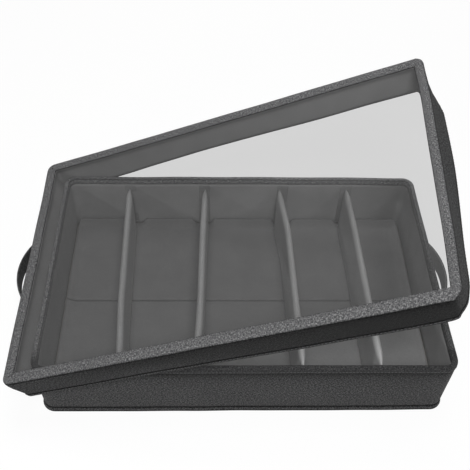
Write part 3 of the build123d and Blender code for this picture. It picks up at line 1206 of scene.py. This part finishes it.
def cut_board(node, rest, cuts):
    """A board's own mesh, merged, set back to where it is drawn flat and cut across, so that
    it can bend. Each of the cuts is an axis, how far they go to each side, and their step."""
    bm = bmesh.new()
    bm.from_mesh(node.data)
    bmesh.ops.remove_doubles(bm, verts=bm.verts[:], dist=1e-6)
    bmesh.ops.transform(bm, matrix=rest.inverted(), verts=bm.verts[:])
    for axis, reach, step in cuts:
        normal = Vector([float(axis == i) for i in range(3)])
        count = int(reach / step)
        for cut in range(-count, count + 1):
            everything = bm.verts[:] + bm.edges[:] + bm.faces[:]
            middle = normal * cut * step
            bmesh.ops.bisect_plane(bm, geom=everything, plane_co=middle, plane_no=normal)
    return bm


def divider_leaf(low, high):
    """One divider about its own middle: a soft leaf that thins to both ends and to its top."""
    sizes = settings("dividers")
    middle = (low + high) / 2
    # The tape takes up 0.7 mm at each end.
    half = (high.y - low.y) / 2 - 0.7 * MM
    bm = bmesh.new()
    size = Matrix.Diagonal((high.z - low.z, 2 * half, 1, 1))
    upright = Matrix.Rotation(math.radians(-90), 4, "Y")
    place = Matrix.Translation((0, middle.y, middle.z))
    bmesh.ops.create_grid(
        bm, x_segments=22, y_segments=80, size=0.5, matrix=place @ upright @ size
    )
    for vert in bm.verts:
        across = abs(vert.co.y) - (half - sizes.corner)
        upwards = vert.co.z - (high.z - sizes.corner)
        if across > 0 and upwards > 0:
            across, upwards = round_off(across, upwards, sizes.corner)
            vert.co.y = math.copysign(half - sizes.corner + across, vert.co.y)
            vert.co.z = high.z - sizes.corner + upwards
    for face in bm.faces:
        if face.normal.x < 0:
            face.normal_flip()
    grown = bmesh.ops.extrude_face_region(bm, geom=bm.faces[:], use_keep_orig=True)["geom"]
    left_side = {v for v in grown if isinstance(v, bmesh.types.BMVert)}
    for vert in bm.verts:
        from_end = half - abs(vert.co.y)
        from_top = high.z - vert.co.z
        corner_cut = max(0, sizes.corner - from_end)
        drop = sizes.corner - math.sqrt(max(0, sizes.corner**2 - corner_cut**2))
        from_top = max(0, from_top - drop)
        # The cloth stands off the board, more so below the top 20 mm, and the top 5 mm are
        # rounded over.
        full = sizes.thickness / 2 * (1.12 + 0.2 * eased(from_top, 0, 0.02))
        edge = min(1, from_top / 0.005)
        tip = divider_tip(from_end)
        reach = full * tip * (0.35 + 0.65 * math.sqrt(1 - (1 - edge) ** 2))
        vert.co.x = -reach if vert in left_side else reach
    bmesh.ops.recalc_face_normals(bm, faces=bm.faces[:])
    return bm


def bend_ends(bm, back, front):
    """Bends a divider's two ends to the right, each by its own length, from its straight
    middle."""
    for vert in bm.verts:
        vert.co.x += back * eased(vert.co.y, 0.045, 0.121)
        vert.co.x += front * eased(vert.co.y, -0.03, -0.121)


class STORAGEBOX_OT_straps(bpy.types.Operator):
    """Make the two strap handles with their stitching"""

    bl_idname = "storage_box.straps"
    bl_label = "Strap handles"

    def execute(self, context):
        sizes = settings("straps")
        width = sizes.width / 2 / MM
        thick = sizes.thickness / 2 / MM
        band = in_mm(
            (-thick, -width + 1), (-thick * 0.6, -width + 0.15), (thick * 0.6, -width + 0.15),
            (thick, -width + 1), (thick * 0.9, -width + 3), (thick, -width / 3),
            (thick, width / 3), (thick * 0.9, width - 3), (thick, width - 1),
            (thick * 0.6, width - 0.15), (-thick * 0.6, width - 0.15), (-thick, width - 1),
            (-thick * 0.9, width - 3), (-thick, width / 3), (-thick, -width / 3),
            (-thick * 0.9, -width + 3),
        )
        for name, side, reach, half_span in (
            ("left", -1, sizes.left_reach, 0.06),
            ("right", 1, sizes.right_reach, 0.048),
        ):
            places = strap_places(reach, half_span, side)
            bm = swept(band, places, closed=False)
            # Between these two places the strap goes from the wall's motion to the handle's.
            inner = (side * 0.204, sizes.middle, sizes.height)
            outer = (side * 0.2215, sizes.middle, sizes.height)
            # The strap's inner side is what faces a place 70 mm inside the loop's middle.
            middle = Vector((side * (0.2 + reach - 0.07), sizes.middle, sizes.height))
            for face in bm.faces:
                inwards = middle - face.calc_center_median()
                inwards.z = 0
                if abs(face.normal.z) < 0.5 and face.normal.dot(inwards) > 0:
                    face.material_index = 1
            strap = show(f"strap_{name}", bm, heathered_linen())
            # The two straps' inner sides differ to paint light and shade: the right one is lined with the
            # pale nonwoven, the left one with the dark linen.
            strap.data.materials.append(nonwoven_lining() if side > 0 else skirt_linen())
            bm = bmesh.new()
            for height in (-8.2 * MM, 8.2 * MM):
                stitch_row(bm, places, 0.95 * sizes.thickness / 2, height, closed=False)
            stitches = show(f"strap_{name}_stitching", bm, sewing_thread())
            for piece in (strap, stitches):
                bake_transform(piece, "tray", f"handle_{name}", start=inner, end=outer)
            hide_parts(f"handle_{name}", f"handle_{name}_ends")
        return {"FINISHED"}


class STORAGEBOX_OT_lid_top(bpy.types.Operator):
    """Make the lid's cloth border with its stitching, the facing under it and the window"""

    bl_idname = "storage_box.lid_top"
    bl_label = "Lid top"

    def execute(self, context):
        sizes = settings("lid")
        places = lid_places()
        # The third numbers paint shade along the border's inner edge over the window and in the groove at
        # its outer edge.
        border = in_mm(
            (-11.5, 1.35, 1), (-11.5, 1.75, 1), (-11.2, 2.15, 0.7), (-10.6, 2.4, 0.1),
            (-9.4, 2.35), (-8.2, 2.6), (-5.5, 2.95), (-2.8, 2.8), (-1.3, 2.4), (-0.5, 1.9, 0.3),
            (-0.15, 1.45, 0.9), (-0.6, 1.2, 1), (-5, 1.3),
        )
        bm = swept(border, places, closed=True)
        lid_piece("lid_border_cloth", bm, linen_binding(), "linen", "lid_border")

        bm = bmesh.new()
        stitch_row(bm, places, -9.4 * MM, 2.62 * MM)
        lid_piece("lid_border_stitching", bm, sewing_thread(), "linen")

        facing = in_mm(
            (-11.4, 0.35), (-11.5, 0.6), (-11.4, 0.85), (-5.6, 0.85), (-5.4, 1.25), (-0.8, 1.25),
            (-0.8, 0.25), (-6, 0.2),
        )
        bm = swept(facing, places, closed=True)
        lid_piece("lid_facing_cloth", bm, nonwoven_lining(), "lining", "lid_facing")

        width = sizes.width - 2 * sizes.window_inset
        depth = sizes.depth - 2 * sizes.window_inset
        bm = bmesh.new()
        flat = Matrix.Translation((0, 0, 1.1 * MM)) @ Matrix.Diagonal((width, depth, 1, 1))
        bmesh.ops.create_grid(bm, x_segments=66, y_segments=42, size=0.5, matrix=flat)
        corners = [v for v in bm.verts if len(v.link_edges) == 2]
        rounded(bm, corners, 5 * MM, segments=4)
        flat_map(bm)
        # Away from its edge the film hangs 0.9 mm low, in waves some 100 mm long.
        for vert in bm.verts:
            from_edge = min(width / 2 - abs(vert.co.x), depth / 2 - abs(vert.co.y))
            free = min(1, max(0, (from_edge - 8 * MM) / 0.05))
            wave = noise.noise(Vector((vert.co.x / 0.11, vert.co.y / 0.09, 3.7)))
            vert.co.z += free * (wave * 1.2 * MM - 0.9 * MM)
        piece = lid_piece("lid_window_film", bm, clear_vinyl_film(), "clear_film", "lid_window")
        wall = piece.modifiers.new("Film thickness", "SOLIDIFY")
        wall.thickness = 0.4 * MM
        wall.offset = 0
        return {"FINISHED"}


class STORAGEBOX_OT_lid_skirt(bpy.types.Operator):
    """Make the lid's skirt: cover, hem, lining and stitching"""

    bl_idname = "storage_box.lid_skirt"
    bl_label = "Lid skirt"

    def execute(self, context):
        places = lid_places(looseness=1.0)
        # The third numbers paint shade in the grooves at the skirt's top and bottom seams.
        cover = in_mm(
            (-0.8, 1.15, 1), (-0.35, 1.05, 1), (0.1, 0.5, 0.8), (0.35, -0.6, 0.1), (0.5, -4),
            (0.6, -10), (0.6, -20), (0.5, -26), (0.3, -29), (0.05, -30.1, 0.8), (-0.4, -30.8, 1),
            (-0.8, -30.9, 1), (-0.85, -15),
        )
        bm = swept(cover, places, closed=True)
        # Painted shade on the front of the skirt: it darkens towards the border above it, and towards its
        # right end all the way down.
        painted_shade = bm.verts.layers.float["painted_shade"]
        for vert in bm.verts:
            x, y, z = (c / MM for c in vert.co)
            front_shade = 0.85 * eased(x, -210, -40) + 0.15 * eased(x, 40, 160)
            front_shade *= eased(z, -30 - 150 * eased(x, -60, 160), -2) * eased(y, -128, -133)
            vert[painted_shade] = max(vert[painted_shade], front_shade)
        lid_piece("lid_skirt_cover", bm, skirt_linen(), "linen", "lid_cover")

        # The third numbers paint shade at the hem's seam and where it turns in.
        hem = in_mm(
            (-0.5, -30.6, 1), (0.2, -30.8, 1), (0.65, -31.5, 0.6), (0.75, -32.4), (0.5, -34.6),
            (-0.4, -35.5), (-1.7, -35.8), (-3, -35.6), (-3.6, -35.2, 0.3), (-3.7, -34.7, 0.8),
            (-3.3, -34.4, 1), (-2.8, -34.3, 1),
        )
        bm = swept(hem, places, closed=True)
        lid_piece("lid_skirt_hem", bm, skirt_linen(), "linen", "lid_hem")

        lining = in_mm(
            (-2.6, 0.5), (-3.4, 0.5), (-3.7, -6), (-3.8, -16), (-3.75, -26), (-3.65, -31.5),
            (-3.5, -34.6), (-2.6, -34.6),
        )
        bm = swept(lining, places, closed=True)
        lid_piece("lid_skirt_lining", bm, nonwoven_lining(), "lining", "lid_lining")

        bm = bmesh.new()
        stitch_row(bm, places, 0.72 * MM, -31.9 * MM)
        stitch_row(bm, places, -3.5 * MM, -31.9 * MM)
        lid_piece("lid_skirt_stitching", bm, sewing_thread(), "linen")
        return {"FINISHED"}


class STORAGEBOX_OT_boards(bpy.types.Operator):
    """Give the stiff boards their greyboard finish, and bend the lid's with its cloth"""

    bl_idname = "storage_box.boards"
    bl_label = "Boards"

    def execute(self, context):
        rest = lid_rest()
        for name, node in frame["nodes"].items():
            if name.startswith("lid_board"):
                # The lid's thin boards bend with the slack cloth round them.
                bm = cut_board(node, rest, ((0, 0.2, 0.01), (1, 0.13, 0.01), (2, 0.03, 0.006)))
                slacken(bm)
                piece = show(name + "_bent", bm, greyboard(), rest)
                attach(piece, "lid", "greyboard", name)
            elif "board" in name:
                for slot in node.material_slots:
                    slot.material = greyboard()
        return {"FINISHED"}


def floor_material():
    """Matt white studio floor. The camera and glossy things see a dark floor with white light
    added, which looks white and keeps the box's shadow. The box itself is lit by light from a
    plain grey floor."""
    material, tree = blank_material("matt_white_floor")
    path = add(tree, "ShaderNodeLightPath")
    seen = add(
        tree,
        "ShaderNodeMath",
        {0: path.outputs["Is Camera Ray"], 1: path.outputs["Is Glossy Ray"]},
        operation="MAXIMUM",
    )
    tone = add(
        tree,
        "ShaderNodeMix",
        {"Factor": seen.outputs["Value"], "A": (0.22, 0.22, 0.22, 1), "B": (0.1, 0.1, 0.1, 1)},
        data_type="RGBA",
    )
    # Painted board is faintly uneven over some 25 mm.
    place = add(tree, "ShaderNodeTexCoord")
    grain = add(
        tree, "ShaderNodeTexNoise", {"Vector": place.outputs["Object"], "Scale": 40, "Detail": 2}
    )
    bump = add(
        tree, "ShaderNodeBump", {"Height": grain.outputs["Fac"], "Strength": 0.02, "Distance": 0.001}
    )
    matt = add(
        tree,
        "ShaderNodeBsdfDiffuse",
        {"Color": tone.outputs["Result"], "Normal": bump.outputs["Normal"]},
    )
    shine = add(
        tree,
        "ShaderNodeMath",
        {0: seen.outputs["Value"], 1: 0.93},
        operation="MULTIPLY",
    )
    glow = add(
        tree,
        "ShaderNodeEmission",
        {"Color": opaque(settings("studio").floor), "Strength": shine.outputs["Value"]},
    )
    chosen = add(tree, "ShaderNodeAddShader", {0: matt.outputs[0], 1: glow.outputs[0]})
    add(tree, "ShaderNodeOutputMaterial", {"Surface": chosen.outputs[0]})
    return material


class STORAGEBOX_OT_stage(bpy.types.Operator):
    """Make the floor, the lamps, the world and the camera"""

    bl_idname = "storage_box.stage"
    bl_label = "Stage"

    def execute(self, context):
        scene = context.scene
        studio = settings("studio")
        scene.view_settings.view_transform = "Standard"

        bm = bmesh.new()
        bmesh.ops.create_grid(bm, x_segments=8, y_segments=8, size=6)
        floor = show("studio_floor", bm, floor_material())

        world = bpy.data.worlds.new("even_white_studio")
        world.use_nodes = True
        tree = world.node_tree
        tree.nodes.clear()
        path = add(tree, "ShaderNodeLightPath")
        strength = add(
            tree,
            "ShaderNodeMix",
            {"Factor": path.outputs["Is Camera Ray"], "A": studio.ambient, "B": 1.0},
            data_type="FLOAT",
        )
        sky = add(
            tree,
            "ShaderNodeBackground",
            {"Color": (1, 1, 1, 1), "Strength": strength.outputs["Result"]},
        )
        add(tree, "ShaderNodeOutputWorld", {"Surface": sky.outputs["Background"]})
        scene.world = world

        for name, place, size, power in (
            ("top_softbox", (0, 0.1, 1.5), 0.6, studio.top_power),
            ("front_softbox", (0, -0.8, 1.3), 0.4, studio.front_power),
            ("back_softbox", (0.2, 1.5, 0.5), 0.6, 0.5 * studio.top_power),
            ("left_lamp", (-0.72, -1.4, 0.6), 0.08, 2.4 * studio.side_power),
            ("right_lamp", (0.5, -1.35, 0.6), 0.08, studio.side_power),
        ):
            lamp = bpy.data.lights.new(name, "AREA")
            lamp.size = size
            lamp.energy = power
            holder = bpy.data.objects.new(name, lamp)
            towards = Vector((0, 0, 0.05)) - Vector(place)
            turn = towards.to_track_quat("-Z", "Y").to_matrix().to_4x4()
            holder.matrix_world = Matrix.Translation(place) @ turn
            scene.collection.objects.link(holder)

        lens = bpy.data.cameras.new("camera")
        lens.lens = studio.lens
        lens.sensor_width = 36
        lens.clip_start = 0.01
        camera = bpy.data.objects.new("camera", lens)
        yaw = Matrix.Rotation(studio.camera_yaw, 4, "Z")
        pitch = Matrix.Rotation(math.radians(90) - studio.camera_pitch, 4, "X")
        roll = Matrix.Rotation(studio.camera_roll, 4, "Z")
        camera.matrix_world = Matrix.Translation(studio.camera_place) @ yaw @ pitch @ roll
        scene.collection.objects.link(camera)
        scene.camera = camera
        return {"FINISHED"}


class STORAGEBOX_PT_panel(bpy.types.Panel):
    """Sizes, finishes and the pieces of the storage box"""

    bl_idname = "STORAGEBOX_PT_panel"
    bl_label = "Cutlery storage box"
    bl_space_type = "VIEW_3D"
    bl_region_type = "UI"
    bl_category = "Storage Box"

    def draw(self, context):
        layout = self.layout
        for name, group in GROUPS.items():
            box = layout.box()
            box.label(text=name.title())
            for key in group.__annotations__:
                box.prop(settings(name), key)
        for operator in OPERATORS:
            layout.operator(operator.bl_idname)


GROUPS = {
    "tray": TraySizes,
    "dividers": DividerSizes,
    "straps": StrapSizes,
    "lid": LidSizes,
    "stitching": Stitching,
    "finishes": Finishes,
    "studio": Studio,
}
OPERATORS = (
    STORAGEBOX_OT_stage,
    STORAGEBOX_OT_tray_outside,
    STORAGEBOX_OT_rim,
    STORAGEBOX_OT_inside,
    STORAGEBOX_OT_dividers,
    STORAGEBOX_OT_straps,
    STORAGEBOX_OT_lid_top,
    STORAGEBOX_OT_lid_skirt,
    STORAGEBOX_OT_boards,
)


def register():
    for name, group in GROUPS.items():
        bpy.utils.register_class(group)
        pointer = bpy.props.PointerProperty(type=group)
        setattr(bpy.types.Scene, "storage_box_" + name, pointer)
    for kind in (*OPERATORS, STORAGEBOX_PT_panel):
        bpy.utils.register_class(kind)


def unregister():
    for kind in reversed((*OPERATORS, STORAGEBOX_PT_panel)):
        bpy.utils.unregister_class(kind)
    for name, group in reversed(GROUPS.items()):
        delattr(bpy.types.Scene, "storage_box_" + name)
        bpy.utils.unregister_class(group)


def main():
    register()
    bpy.ops.storage_box.stage()
    bpy.ops.storage_box.tray_outside()
    bpy.ops.storage_box.rim()
    bpy.ops.storage_box.inside()
    bpy.ops.storage_box.dividers()
    bpy.ops.storage_box.straps()
    bpy.ops.storage_box.lid_top()
    bpy.ops.storage_box.lid_skirt()
    bpy.ops.storage_box.boards()


if __name__ == "__main__":
    main()
